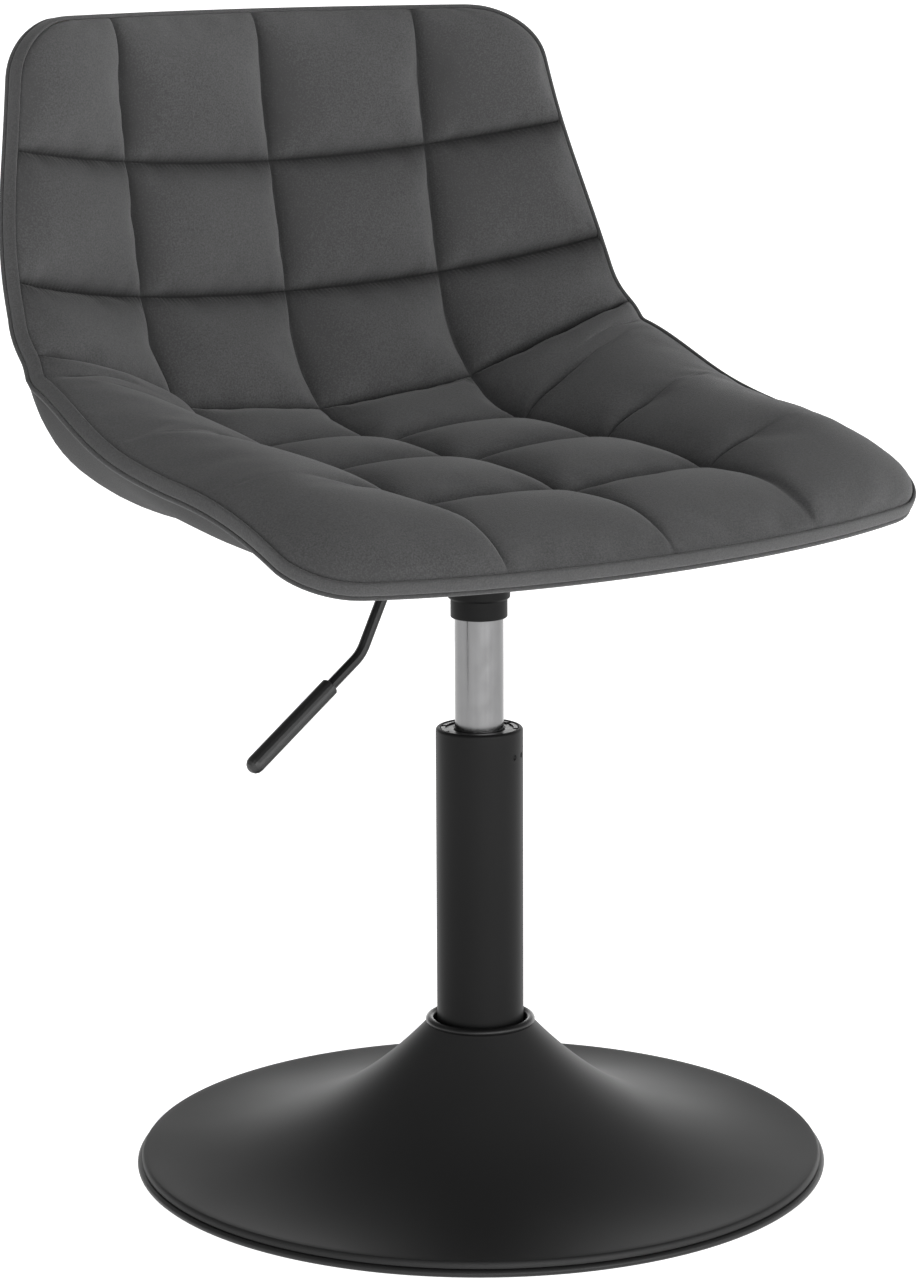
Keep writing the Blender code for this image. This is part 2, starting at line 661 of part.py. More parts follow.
def rest_on(points, above, floor):
    """Lifts points to a floor, but never into the skin above them."""
    return [Vector((p.x, p.y, max(p.z, min(floor, v.co.z - 1.2 * MM)))) for p, v in zip(points, above)]


def outline_of(sheet):
    """The vertices round a grid, once round."""
    right = [row[-1] for row in sheet[1:-1]]
    left = [row[0] for row in reversed(sheet[1:-1])]
    return sheet[0] + right + list(reversed(sheet[-1])) + left


def band_mesh(seat):
    """The strip sewn round the seat's edge: a closed loop with a thin upright section."""
    rows = [[(w * (2 * k / COLUMNS - 1), s) for k in range(COLUMNS + 1)]
            for s, w in ((s, seat.half_width(s)) for s in seat.stations())]
    places = outline_of(rows)
    points = [seat.point(x, s) for x, s in places]
    made = bmesh.new()
    rings = []
    for k, (x, s) in enumerate(places):
        ahead = points[(k + 1) % len(points)] - points[k - 1]
        normal = seat.normal(x, s)
        out = ahead.cross(normal).normalized()
        if out.dot(points[k] - seat.point(0, seat.length / 2)) < 0:
            out = -out
        lean = seat.flare(s)
        ring = []
        for offset, depth in ((BAND_OFFSET, 0.2 * MM), (BAND_OFFSET + BAND_WALL, 0.2 * MM),
                              (BAND_OFFSET + BAND_WALL, BAND_DEPTH), (BAND_OFFSET, BAND_DEPTH)):
            ring.append(made.verts.new(points[k] + out * (offset + lean * depth) - normal * depth))
        rings.append(ring)
    for a, b in zip(rings, rings[1:] + rings[:1]):
        for i in range(4):
            j = (i + 1) % 4
            made.faces.new((a[i], a[j], b[j], b[i]))
    return made


def make_seat(lift):
    seat = SeatSurface()
    keep("seat_pad", layer_mesh(seat, pad_top, pad_bottom), VELVET, lift)
    keep("seat_shell", layer_mesh(seat, shell_top, shell_bottom), PLYWOOD, lift)
    keep("edge_band", band_mesh(seat), VELVET, lift)
    cover = keep("under_cover", layer_mesh(seat, cover_top, cover_bottom, COVER_BOTTOM), VELVET, lift)
    low = (-BOARD_HALF_X, BOARD_FRONT, COVER_BOTTOM + SKIN + GAP)
    high = (BOARD_HALF_X, BOARD_BACK, 398.0 * MM)
    board = keep("mounting_board", box_mesh(low, high), PLYWOOD, lift)
    above = layer_mesh(seat, lambda *_: -40 * MM, cover_top)
    combine(board, cutter(above, lift), "DIFFERENCE")
    side = Vector((GAP, GAP, GAP))
    pocket = box_mesh(Vector(low) - side, Vector(high) + side)
    combine(cover, cutter(pocket, lift), "DIFFERENCE")
    for x, y in bolt_places():
        combine(cover, cutter(rod_mesh(3.3 * MM, 370 * MM, 374 * MM, (x, y), 12), lift), "DIFFERENCE")
        combine(board, cutter(rod_mesh(4.2 * MM, 370 * MM, 390 * MM, (x, y), 12), lift), "DIFFERENCE")
        combine(board, cutter(rod_mesh(9.4 * MM, 382 * MM, 395 * MM, (x, y), 16), lift), "DIFFERENCE")


# ---- assembly ------------------------------------------------------------------------------------

clear_scene()
BLACK_PAINT = material("black_powder_coat", (0.022, 0.022, 0.023), 0.55)
GLOSS_PLASTIC = material("gloss_black_plastic", (0.012, 0.012, 0.013), 0.18)
BLACK_PLASTIC = material("black_plastic", (0.018, 0.018, 0.019), 0.5)
RUBBER = material("black_rubber", (0.02, 0.02, 0.02), 0.8)
CHROME = material("satin_chrome", (0.72, 0.72, 0.71), 0.25, 1.0)
ZINC = material("zinc_plated_steel", (0.6, 0.6, 0.58), 0.4, 1.0)
BEARING_STEEL = material("bearing_steel", (0.55, 0.55, 0.56), 0.3, 1.0)
CAST_STEEL = material("raw_steel", (0.25, 0.25, 0.26), 0.6, 1.0)
BRASS = material("brass", (0.7, 0.5, 0.22), 0.35, 1.0)
PLYWOOD = material("birch_plywood", (0.62, 0.47, 0.3), 0.7)
VELVET = material("grey_velvet", (0.09, 0.09, 0.09), 0.9)
CUT = material("cutter", (1.0, 0.2, 0.2), 0.5)

stool = empty("stool")
lift_axis = empty("lift", stool)
lever_axis = empty("lever_pivot", stool, (PIVOT_X, 0, LEVER_HEIGHT))

make_base(stool)
make_column(stool)
make_spindle(stool)
make_cylinder(lift_axis)
make_valve_pin(lift_axis)
make_plate(lift_axis)
make_fasteners(lift_axis)
make_lever(lever_axis)
make_seat(lift_axis)
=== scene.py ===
"""Looks of the adjustable swivel stool: quilted velvet seat, satin black base and column, chromed cylinder.

Lengths are in millimetres, scaled by MM. The seat's centre line and rows are those of the CAD solids.
"""
import math

import bmesh
import bpy
import numpy as np
from mathutils import Matrix, Vector


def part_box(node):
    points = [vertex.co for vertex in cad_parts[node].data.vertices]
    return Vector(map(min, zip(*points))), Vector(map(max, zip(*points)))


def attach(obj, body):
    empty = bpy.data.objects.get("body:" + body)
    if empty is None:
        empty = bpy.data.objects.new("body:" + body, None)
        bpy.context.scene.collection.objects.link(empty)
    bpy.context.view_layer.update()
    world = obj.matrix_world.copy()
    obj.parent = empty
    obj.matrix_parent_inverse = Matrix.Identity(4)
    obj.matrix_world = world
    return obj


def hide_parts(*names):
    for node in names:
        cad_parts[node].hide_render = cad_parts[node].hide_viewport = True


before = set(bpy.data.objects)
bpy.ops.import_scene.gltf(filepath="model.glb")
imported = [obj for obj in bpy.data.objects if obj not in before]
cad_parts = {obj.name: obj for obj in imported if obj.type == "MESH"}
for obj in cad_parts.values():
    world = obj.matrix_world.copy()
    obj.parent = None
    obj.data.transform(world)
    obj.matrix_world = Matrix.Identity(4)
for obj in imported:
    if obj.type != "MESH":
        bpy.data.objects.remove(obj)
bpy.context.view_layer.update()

MM = 0.001

# Camera: where it stands, which way it faces, and its focal length
CAMERA_PLACE = (-1301.0 * MM, -1650.0 * MM, 729.5 * MM)
CAMERA_TURN = math.radians(-37.96)
CAMERA_PITCH = math.radians(11.38)
CAMERA_ROLL = math.radians(-0.25)
CAMERA_LENS = 106.2

# Studio light: the even glow, the glow at the horizon, how fast the soft boxes fade upwards, and each soft
# box's direction, sharpness and strength
STUDIO_GLOW = 0.2
HORIZON_GLOW = 0.8
SKY_FALLOFF = 2.5
SOFT_BOXES = (
    ((-0.1, -1.0, 0.0), 2.5, 7.3),
    ((0.95, 0.1, 0.0), 4.0, 1.6),
    ((0.6, 0.78, 0.1), 6.0, 2.4),
    ((-0.95, 0.2, 0.05), 5.0, 0.7),
    ((-0.92, 0.38, 0.0), 70.0, 1.1),
)
HORIZON_SHARPNESS = 30.0
FLOOR_GLOW = 1.1
FLOOR_REACH = 40000.0

# Seat's centre line: y and z where it starts, its slope there, and each stretch's length and turn
BACK_TOP = (215.0, 653.0)
BACK_SLOPE = math.radians(79.0)
STRETCHES = (
    (184.0, 0.0),                       # straight back
    (107.0, math.radians(-77.0)),       # bend
    (145.0, 0.0),                       # flat seat
    (130.0, math.radians(17.0)),        # rolled front
)
# Rows across the seat, from the top of the back to the front edge
ROW_PLACES = (0.0, 88.0, 166.0, 242.0, 304.0, 379.0, 471.0, 566.0)   # down the centre line
HALF_WIDTHS = (182.0, 195.0, 209.0, 213.0, 216.0, 220.0, 219.0, 218.0)
WINGS = (38.0, 36.0, 43.0, 58.0, 52.0, 29.0, 14.0, -5.0)     # how high the side edges stand
SWEEPS = (-8.0, 10.0, 15.0, 7.0, 10.0, 21.0, 21.0, 30.0)     # how far they lag behind the centre line
ROUNDNESS = (1.0, 1.0, 0.75, 0.8, 0.1, 0.1, 0.4, 0.8)        # 1 is an even curve, 0 one that rises late
COVER_DEPTHS = (9.0, 18.0, 25.0, 35.0, 37.0, 31.0, 34.0, 10.0)   # of the underside, below the seams
QUARTER_X = 108.0                                            # outer column seams
BACK_CORNER = 39.0
FRONT_CORNER = 30.0
COVER_RIM = 8.2
COVER_BOTTOM = 371.3            # top of the seat plate, plus a gap
COVER_CLOTH = 1.2
COVER_CLEARANCE = 1.9           # between the plywood's underside and the cover's outside
BAND_DEPTH = 7.5
FLARE = 0.2
FLARE_FROM, FLARE_TO = 200.0, 460.0
PAD_BOTTOM = (3.0, 8.0)
SHELL_BOTTOM = (6.6, 16.3)
EDGE_FADE = 36.0

# Quilting
INNER_CROWNS = (11.0, 11.0, 11.0, 12.0, 12.0, 12.0, 11.0)    # height of each row's middle cushions
OUTER_CROWNS = (11.0, 11.0, 13.0, 25.0, 21.0, 18.0, 16.0)    # and of its side cushions
ROW_SEAM_LIFT = (0.0, 0.0, 0.0, 0.3, 0.9, 0.9, 0.9, 0.0)     # share of the crown that side seams keep
FRONT_SEAM_LIFT = 0.85
BACK_SEAM_LIFT = 0.5
CUSHION_SHAPE = 0.54
PILLOW_CELLS = 16
SEAM_PULL = 2.2
SEAM_WIDTH = 2.1
ROW_PAINTED_SHADES = (0.0, 0.85, 0.9, 0.75, 0.5, 0.42, 0.36, 0.0)    # how dark the painted shade lies at each row seam
COLUMN_PAINTED_SHADE = 0.45                                           # and beside the column seams
CLOTH_FRAMES = 22
# How far a seam's shade reaches: its sharp part, its soft part, and the part behind the seam
ROW_SHADE = (5.0, 20.0, 2.0)
COLUMN_SHADE = (2.5, 12.0, 1.5)
# Where the row seams run out: from so many columns off the middle, over so many more, below this row
BOLSTER_FROM, BOLSTER_OVER = 1.15, 0.5
BOLSTER_ROW = 3.3
STITCH_END = 0.4                                             # a seam that has run out further isn't stitched

# Base and column
BASE_RADIUS = 195.5
BASE_RIM_HEIGHT = 8.5
BASE_RISE = 78.0
BASE_SWEEP = 2.44
BASE_WALL = 2.2
NECK_RADIUS = 26.7
NECK_OPENING = 30.8
TUBE_RADIUS = 25.0
TUBE_BORE = 22.4
DENT_ANGLES = (-75.0, -56.0)    # where the tube is crimped onto its bush, in degrees
DENT_DROP = 15.0                # below the tube's top
DENT_BALL = 1.9                 # radius of the ball that presses each dimple
CYLINDER_RADIUS = 14.0
CYLINDER_BORE = 11.5
CYLINDER_CEILING = 343.0
SOCKET_RADIUS = 16.25
SOCKET_BORE = 14.35


# ---- seat surface --------------------------------------------------------------------------------

def natural_spline(knots, values):
    """The natural cubic through the values, as a function that takes an array."""
    count = len(knots)
    steps = np.diff(knots)
    system, right = np.eye(count), np.zeros(count)
    for k in range(1, count - 1):
        system[k, k - 1:k + 2] = steps[k - 1], 2 * (steps[k - 1] + steps[k]), steps[k]
        slopes = np.diff(values[k - 1:k + 2]) / steps[k - 1:k + 1]
        right[k] = 6 * (slopes[1] - slopes[0])
    bends = np.linalg.solve(system, right)

    def read(at):
        k = np.clip(np.searchsorted(knots, at) - 1, 0, count - 2)
        h = steps[k]
        b = (at - knots[k]) / h
        a = 1 - b
        curve = ((a ** 3 - a) * bends[k] + (b ** 3 - b) * bends[k + 1]) * h * h / 6
        return a * values[k] + b * values[k + 1] + curve
    return read


def smooth(t):
    t = np.clip(t, 0, 1)
    return t * t * (3 - 2 * t)


def centre_line(s):
    """y, z and the slope at a distance down the seat's centre line."""
    y, z = BACK_TOP
    slope = BACK_SLOPE
    for length, turn in STRETCHES:
        run = np.clip(s, 0, length)
        bend = turn * run / length
        chord = run * np.sinc(bend / math.tau)
        y = y - chord * np.cos(slope + bend / 2)
        z = z - chord * np.sin(slope + bend / 2)
        slope = slope + bend
        s = s - length
    return y, z, slope


class SeatSurface:
    """The level of the seat's seams. x runs across, and s down the back and out to the front edge."""

    def __init__(self):
        self.knots = np.array(ROW_PLACES)
        self.length = float(self.knots[-1])
        self.edge, self.wing, self.sweep, self.roundness, self.depth = (
            natural_spline(self.knots, np.array(values))
            for values in (HALF_WIDTHS, WINGS, SWEEPS, ROUNDNESS, COVER_DEPTHS)
        )

    def half_width(self, s):
        width = self.edge(s)
        for distance, radius in ((s, BACK_CORNER), (self.length - s, FRONT_CORNER)):
            short = np.clip(radius - distance, 0, radius)
            width = width - (radius - np.sqrt(radius ** 2 - short ** 2))
        return width

    def point(self, x, s):
        y, z, slope = centre_line(s)
        u = (x / self.edge(s)) ** 2
        share = u * u + self.roundness(s) * (u - u * u)
        wing, sweep = self.wing(s) * share, self.sweep(s) * share
        back, up = np.cos(slope), np.sin(slope)
        return np.stack([x, y + sweep * back - wing * up, z + sweep * up + wing * back], axis=-1)

    def normal(self, x, s):
        low, high = np.clip(s - 0.5, 0, None), np.clip(s + 0.5, None, self.length)
        across = self.point(x + 0.5, s) - self.point(x - 0.5, s)
        along = self.point(x, high) - self.point(x, low)
        return unit(np.cross(along, across))

    def flare(self, s):
        t = np.clip((s - FLARE_FROM) / (FLARE_TO - FLARE_FROM), 0, 1)
        return FLARE * np.sin(math.pi * t) ** 2

    def layer_point(self, x, s, depth):
        """A point at a depth under the seams, led outwards near the sides where the band flares."""
        reach = np.minimum(np.abs(x) / self.half_width(s), 1.0)
        lean = self.flare(s) * np.clip(depth, 0, BAND_DEPTH) * reach ** 10
        across = unit(self.point(x + 0.5, s) - self.point(x - 0.5, s))
        down = self.normal(x, s) * np.asarray(depth)[..., None]
        return self.point(x, s) - down + across * (np.sign(x) * lean)[..., None]

    def fade(self, x, s):
        """0 at the outline and 1 well inside it."""
        inside = np.minimum(self.half_width(s) - np.abs(x), np.minimum(s, self.length - s))
        return smooth(inside / EDGE_FADE)


def between(pair, share):
    return pair[0] + (pair[1] - pair[0]) * share


def unit(vectors):
    return vectors / np.linalg.norm(vectors, axis=-1, keepdims=True)


SEAT = SeatSurface()
ROWS = len(ROW_PLACES) - 1
COLUMNS = 4


# ---- meshes --------------------------------------------------------------------------------------

def link(name, mesh):
    made = bpy.data.objects.new(name, mesh)
    bpy.context.collection.objects.link(made)
    return made


def mesh_object(name, points, faces):
    """A mesh from points in millimetres."""
    mesh = bpy.data.meshes.new(name)
    mesh.from_pydata([tuple(p) for p in np.asarray(points, dtype=float) * MM], [], faces)
    mesh.validate()
    mesh.shade_smooth()
    return link(name, mesh)


def from_bmesh(name, made, smooth_angle=40):
    """An object from a bmesh, shaded smooth up to an angle in degrees."""
    bmesh.ops.recalc_face_normals(made, faces=made.faces)
    mesh = bpy.data.meshes.new(name)
    made.to_mesh(mesh)
    made.free()
    mesh.shade_smooth()
    mesh.set_sharp_from_angle(angle=math.radians(smooth_angle))
    return link(name, mesh)


def finish_piece(piece, material, body, replaces=()):
    """Gives a piece its material and its body, and hides the CAD nodes that it stands for."""
    piece.data.materials.clear()
    piece.data.materials.append(material)
    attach(piece, body)
    if replaces:
        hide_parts(*replaces)


def lathe(name, outline, sides=128, smooth_angle=40):
    """A closed outline of (radius, height) points in millimetres, spun about the column's axis."""
    made = bmesh.new()
    corners = [made.verts.new((r * MM, 0.0, z * MM)) for r, z in outline]
    edges = [made.edges.new((a, b)) for a, b in zip(corners, corners[1:] + corners[:1])]
    for edge in [e for e in edges if all(v.co.x < 1e-7 for v in e.verts)]:
        made.edges.remove(edge)
        edges.remove(edge)
    bmesh.ops.spin(
        made, geom=corners + edges, cent=(0, 0, 0), axis=(0, 0, 1),
        angle=math.tau, steps=sides, use_merge=True,
    )
    bmesh.ops.remove_doubles(made, verts=made.verts, dist=1e-6)
    return from_bmesh(name, made, smooth_angle)


def grid_slab(name, upper, lower):
    """A closed slab between two grids of points with the same rows and columns."""
    rows, columns = upper.shape[:2]
    count = rows * columns
    index = np.arange(count).reshape(rows, columns)
    faces = []
    for a, b, c, d in zip(index[:-1, :-1].ravel(), index[:-1, 1:].ravel(),
                          index[1:, 1:].ravel(), index[1:, :-1].ravel()):
        faces.append((int(d), int(c), int(b), int(a)))
        faces.append((int(a + count), int(b + count), int(c + count), int(d + count)))
    rim = outline_of(index)
    for a, b in zip(rim, rim[1:] + rim[:1]):
        faces.append((a, b, b + count, a + count))
    points = np.concatenate([upper.reshape(-1, 3), lower.reshape(-1, 3)])
    return mesh_object(name, points, faces)


def outline_of(index):
    """The entries round a grid, once round, clockwise from its first row."""
    top = [int(i) for i in index[0]]
    right = [int(i) for i in index[1:-1, -1]]
    bottom = [int(i) for i in index[-1][::-1]]
    left = [int(i) for i in index[1:-1, 0][::-1]]
    return top + right + bottom + left


# ---- materials -----------------------------------------------------------------------------------

def maths(tree, operation, *values):
    """A maths node whose inputs are sockets or numbers."""
    made = tree.nodes.new("ShaderNodeMath")
    made.operation = operation
    for value, socket in zip(values, made.inputs):
        if isinstance(value, float):
            socket.default_value = value
        else:
            tree.links.new(value, socket)
    return made.outputs["Value"]


class Finish:
    """A material's nodes, with short calls for the few that every finish uses."""

    def __init__(self, name, colour, roughness, metallic=0.0, **sockets):
        self.material = bpy.data.materials.new(name)
        self.material.use_nodes = True
        self.tree = self.material.node_tree
        self.shader = self.tree.nodes["Principled BSDF"]
        self.place = self.node("ShaderNodeTexCoord").outputs["Object"]
        self.set("Base Color", (*colour, 1.0))
        self.set("Roughness", roughness)
        self.set("Metallic", metallic)
        for socket, value in sockets.items():
            self.set(socket.replace("_", " "), value)

    def set(self, socket, value):
        self.shader.inputs[socket].default_value = value

    def node(self, kind, **values):
        made = self.tree.nodes.new(kind)
        for name, value in values.items():
            setattr(made, name, value)
        return made

    def join(self, out, into):
        self.tree.links.new(out, into)

    def noise(self, scale, detail=2.0, stretch=None):
        noise = self.node("ShaderNodeTexNoise")
        noise.inputs["Scale"].default_value = scale
        noise.inputs["Detail"].default_value = detail
        source = self.place
        if stretch:
            mapping = self.node("ShaderNodeMapping")
            mapping.inputs["Scale"].default_value = stretch
            self.join(source, mapping.inputs["Vector"])
            source = mapping.outputs["Vector"]
        self.join(source, noise.inputs["Vector"])
        return noise.outputs["Fac"]

    def spread(self, source, low, high, start=0.3, end=0.7):
        """Maps a 0 to 1 value onto low to high."""
        made = self.node("ShaderNodeMapRange")
        made.inputs["From Min"].default_value = start
        made.inputs["From Max"].default_value = end
        made.inputs["To Min"].default_value = low
        made.inputs["To Max"].default_value = high
        self.join(source, made.inputs["Value"])
        return made.outputs["Result"]

    def times(self, a, b):
        return maths(self.tree, "MULTIPLY", a, b)

    def plus(self, a, b):
        return maths(self.tree, "ADD", a, b)

    def tint(self, factor, dark, light):
        """Colours the surface between two colours."""
        made = self.node("ShaderNodeMix", data_type="RGBA")
        made.inputs[6].default_value = (*dark, 1.0)
        made.inputs[7].default_value = (*light, 1.0)
        self.join(factor, made.inputs[0])
        self.join(made.outputs[2], self.shader.inputs["Base Color"])

    def darken(self, factor, shade):
        """Lays a shade over the base colour."""
        coloured = self.shader.inputs["Base Color"].links[0].from_socket
        made = self.node("ShaderNodeMix", data_type="RGBA")
        made.inputs[7].default_value = (*shade, 1.0)
        self.join(factor, made.inputs[0])
        self.join(coloured, made.inputs[6])
        self.join(made.outputs[2], self.shader.inputs["Base Color"])

    def bump(self, *heights):
        """Stacks bumps, each a (height, distance in metres, strength)."""
        normal = None
        for height, distance, strength in heights:
            made = self.node("ShaderNodeBump")
            made.inputs["Distance"].default_value = distance
            made.inputs["Strength"].default_value = strength
            self.join(height, made.inputs["Height"])
            if normal:
                self.join(normal, made.inputs["Normal"])
            normal = made.outputs["Normal"]
        self.join(normal, self.shader.inputs["Normal"])

    def attribute(self, name):
        made = self.node("ShaderNodeAttribute", attribute_name=name)
        return made.outputs["Fac"]


def grey(value):
    return (value, value, value * 1.01)


def velvet(name, dark, light, sheen, roughness=0.33, folds=None):
    """Short pile: broad brushed patches and a fine speckle, and a painted sheen, lighter colour where the
    surface turns away from the view.
    """
    made = Finish(name, grey(dark), 0.95, Sheen_Weight=sheen, Sheen_Roughness=roughness,
                  Specular_IOR_Level=0.1)
    patches = made.spread(made.noise(13.0, 3.0), -0.06, 0.06)
    speckle = made.spread(made.noise(1100.0, 2.0), -0.2, 0.2)
    # painted sheen: the colour turns lighter as the surface turns away from the view
    painted_sheen = made.node("ShaderNodeLayerWeight").outputs["Facing"]
    made.tint(made.plus(painted_sheen, made.plus(patches, speckle)), grey(dark), grey(light))
    heights = [(made.noise(1300.0, 2.0), 0.0006, 0.5), (made.noise(240.0, 2.0), 0.0006, 0.12)]
    if folds:
        heights.append(folds(made))
    made.bump(*heights)
    return made


def gathers(made):
    """Tiny gathers beside the seams, where the cover is drawn in, as one bump."""
    waves = made.node("ShaderNodeTexWave", bands_direction="X")
    waves.inputs["Scale"].default_value = 98.0
    waves.inputs["Distortion"].default_value = 1.5
    made.join(made.place, waves.inputs["Vector"])
    height = made.times(waves.outputs["Fac"], made.attribute("seam_shade"))
    return height, 0.0006, 0.45


def quilted_velvet():
    made = velvet("velvet_quilted", 0.054, 0.135, 0.14, folds=gathers)
    # painted shade: near-black laid over the velvet by the seams, where the cushions shade the pile
    made.darken(made.attribute("seam_shade"), grey(0.006))
    return made.material


def band_velvet():
    return velvet("velvet_band", 0.054, 0.12, 0.14, 0.4).material


def cover_velvet():
    return velvet("velvet_cover", 0.03, 0.058, 0.07, 0.4).material


def powder_coat(name="powder_coat", colour=0.016, roughness=0.5, gloss=0.26):
    made = Finish(name, grey(colour), roughness, Specular_IOR_Level=gloss)
    uneven = made.spread(made.noise(7.0, 2.0), roughness - 0.03, roughness + 0.05)
    made.join(uneven, made.shader.inputs["Roughness"])
    made.tint(made.noise(9.0, 2.0), grey(colour * 0.85), grey(colour * 1.2))
    made.bump((made.noise(1400.0, 2.0), 0.0002, 0.12))
    return made.material


def moulded_plastic(name, colour, roughness):
    made = Finish(name, grey(colour), roughness)
    made.tint(made.noise(30.0, 2.0), grey(colour * 0.85), grey(colour * 1.25))
    made.bump((made.noise(600.0, 2.0), 0.0003, 0.2))
    return made.material


def gloss_plastic():
    made = Finish("gloss_plastic", grey(0.006), 0.26, Specular_IOR_Level=0.3)
    made.tint(made.noise(40.0, 2.0), grey(0.005), grey(0.008))
    made.bump((made.noise(260.0, 1.0), 0.0002, 0.05))
    return made.material


def rubber():
    made = Finish("rubber", grey(0.016), 0.62)
    made.tint(made.noise(60.0, 3.0), grey(0.012), grey(0.022))
    made.bump((made.noise(900.0, 2.0), 0.0003, 0.2))
    return made.material


def chrome(name="satin_chrome", colour=0.23, roughness=0.18):
    """Ground and plated: fine vertical drawing marks and faint hand marks."""
    made = Finish(name, grey(colour), roughness, 1.0)
    streaks = made.noise(260.0, 3.0, (1.0, 1.0, 0.02))
    marks = made.noise(70.0, 4.0)
    made.join(made.spread(marks, roughness - 0.04, roughness + 0.10), made.shader.inputs["Roughness"])
    made.tint(made.times(streaks, marks), grey(colour * 0.78), grey(min(colour * 1.35, 0.95)))
    made.bump((streaks, 0.0001, 0.25), (marks, 0.0001, 0.12))
    return made.material


def plated(name, colour, roughness):
    made = Finish(name, colour, roughness, 1.0)
    made.tint(made.noise(120.0, 3.0), tuple(c * 0.75 for c in colour), colour)
    made.bump((made.noise(500.0, 2.0), 0.0002, 0.15))
    return made.material


def plywood():
    made = Finish("plywood", (0.6, 0.45, 0.28), 0.7)
    grain = made.noise(60.0, 4.0, (1.0, 0.08, 1.0))
    made.tint(grain, (0.42, 0.29, 0.16), (0.66, 0.5, 0.32))
    made.bump((grain, 0.0004, 0.25))
    return made.material


# ---- quilted pad ---------------------------------------------------------------------------------

def graded(cells, share=0.85):
    """Places from 0 to 1 that crowd towards both ends."""
    k = np.arange(cells + 1) / cells
    return (1 - share) * k + share * (1 - np.cos(math.pi * k)) / 2


def quilt_grid():
    """x and s on the pad's grid, and the same places counted in columns and rows of cushions."""
    steps = graded(PILLOW_CELLS)[:-1]
    across = np.append((np.arange(COLUMNS)[:, None] + steps).ravel(), COLUMNS)
    along = np.append((np.arange(ROWS)[:, None] + steps).ravel(), ROWS)
    u, v = np.meshgrid(across, along)
    s = np.interp(v, np.arange(ROWS + 1), SEAT.knots)
    off = np.abs(u - COLUMNS / 2)
    side = np.clip(off - 1, 0, 1)
    reach = QUARTER_X * np.minimum(off, 1) + side * (SEAT.half_width(s) - QUARTER_X)
    return np.sign(u - COLUMNS / 2) * reach, s, u, v


def cushion_places(u, v):
    """Which column and row each place is in, and how far across and along that cushion it lies."""
    column = np.clip(np.floor(u), 0, COLUMNS - 1).astype(int)
    row = np.clip(np.floor(v), 0, ROWS - 1).astype(int)
    return column, row, u - column, v - row


def cushion_height(u, v):
    """How far the cover starts above the seams: domed cushions, whose seams run shallow towards the rim."""
    column, row, a, b = cushion_places(u, v)
    across = np.clip(1 - (2 * a - 1) ** 2, 0, 1) ** CUSHION_SHAPE
    along = np.clip(1 - (2 * b - 1) ** 2, 0, 1) ** CUSHION_SHAPE
    outer = (column == 0) | (column == COLUMNS - 1)
    middles = np.arange(ROWS) + 0.5
    crown = np.where(outer, np.interp(v, middles, OUTER_CROWNS), np.interp(v, middles, INNER_CROWNS))
    row_lift = outer * np.array(ROW_SEAM_LIFT)[np.where(b < 0.5, row, row + 1)]
    row_lift = row_lift + (1 - row_lift) * run_out(u, v)
    at_rim = np.where(column == 0, a < 0.5, a > 0.5) & outer
    column_lift = np.where(row == ROWS - 1, FRONT_SEAM_LIFT * smooth(b * 1.5), 0.0)
    column_lift = column_lift + np.where(row == 0, BACK_SEAM_LIFT * smooth(1 - b * 1.5), 0.0)
    column_lift = np.where(at_rim, 0.0, column_lift)
    return crown * (across * along + (1 - across) * along * column_lift + (1 - along) * across * row_lift)


def inflate(points, faces, pinned):
    """Lets the cover swell between its seams as cloth, and returns where its points come to rest."""
    sheet = mesh_object("swelling", points, faces)
    seams = sheet.vertex_groups.new(name="seams")
    seams.add([int(i) for i in np.flatnonzero(pinned)], 1.0, "REPLACE")
    cloth = sheet.modifiers.new("cloth", "CLOTH")
    settings = cloth.settings
    settings.vertex_group_mass = "seams"
    settings.quality = 6
    settings.mass = 0.1
    settings.air_damping = 3.0
    settings.tension_stiffness = 25
    settings.compression_stiffness = 25
    settings.shear_stiffness = 8
    settings.bending_stiffness = 0.03
    settings.shrink_min = -0.014
    settings.use_pressure = True
    settings.uniform_pressure_force = 60.0
    settings.effector_weights.gravity = 0.0
    cloth.collision_settings.use_collision = False
    cloth.point_cache.frame_start = 1
    cloth.point_cache.frame_end = CLOTH_FRAMES
    scene = bpy.context.scene
    for number in range(1, CLOTH_FRAMES + 1):
        scene.frame_set(number)
    seen = sheet.evaluated_get(bpy.context.evaluated_depsgraph_get())
    swollen = np.empty(len(points) * 3)
    seen.data.vertices.foreach_get("co", swollen)
    scene.frame_set(1)
    mesh = sheet.data
    bpy.data.objects.remove(sheet)
    bpy.data.meshes.remove(mesh)
    return swollen.reshape(-1, 3) / MM


def quilted_top():
    """The grid of the pad's upper side, swollen and pulled in along its seams."""
    x, s, u, v = quilt_grid()
    level, normal = SEAT.point(x, s), SEAT.normal(x, s)
    start = level + normal * cushion_height(u, v)[..., None]
    top = start
    index = np.arange(x.size).reshape(x.shape)
    corners = (index[1:, :-1], index[1:, 1:], index[:-1, 1:], index[:-1, :-1])
    faces = [tuple(int(i) for i in face) for face in zip(*(c.ravel() for c in corners))]
    top = inflate(start.reshape(-1, 3), faces, held(u, v).ravel()).reshape(start.shape)
    return x, s, u, v, top - normal * seam_tuck(x, s, u, v)[..., None], normal


def on_row_seam(v):
    return np.abs(v - np.round(v)) < 1e-6


def on_column_seam(u):
    return np.abs(u - np.round(u)) < 1e-6


def stitched_rows(u, v):
    """The row seams, as far as their stitches run."""
    return on_row_seam(v) & (run_out(u, v) < STITCH_END)


def held(u, v):
    """Where stitches hold the cover down."""
    return on_column_seam(u) | stitched_rows(u, v)


def beside_column(x):
    """How far across each place lies from the nearest inner column seam."""
    return x - np.clip(np.round(x / QUARTER_X), -1, 1) * QUARTER_X


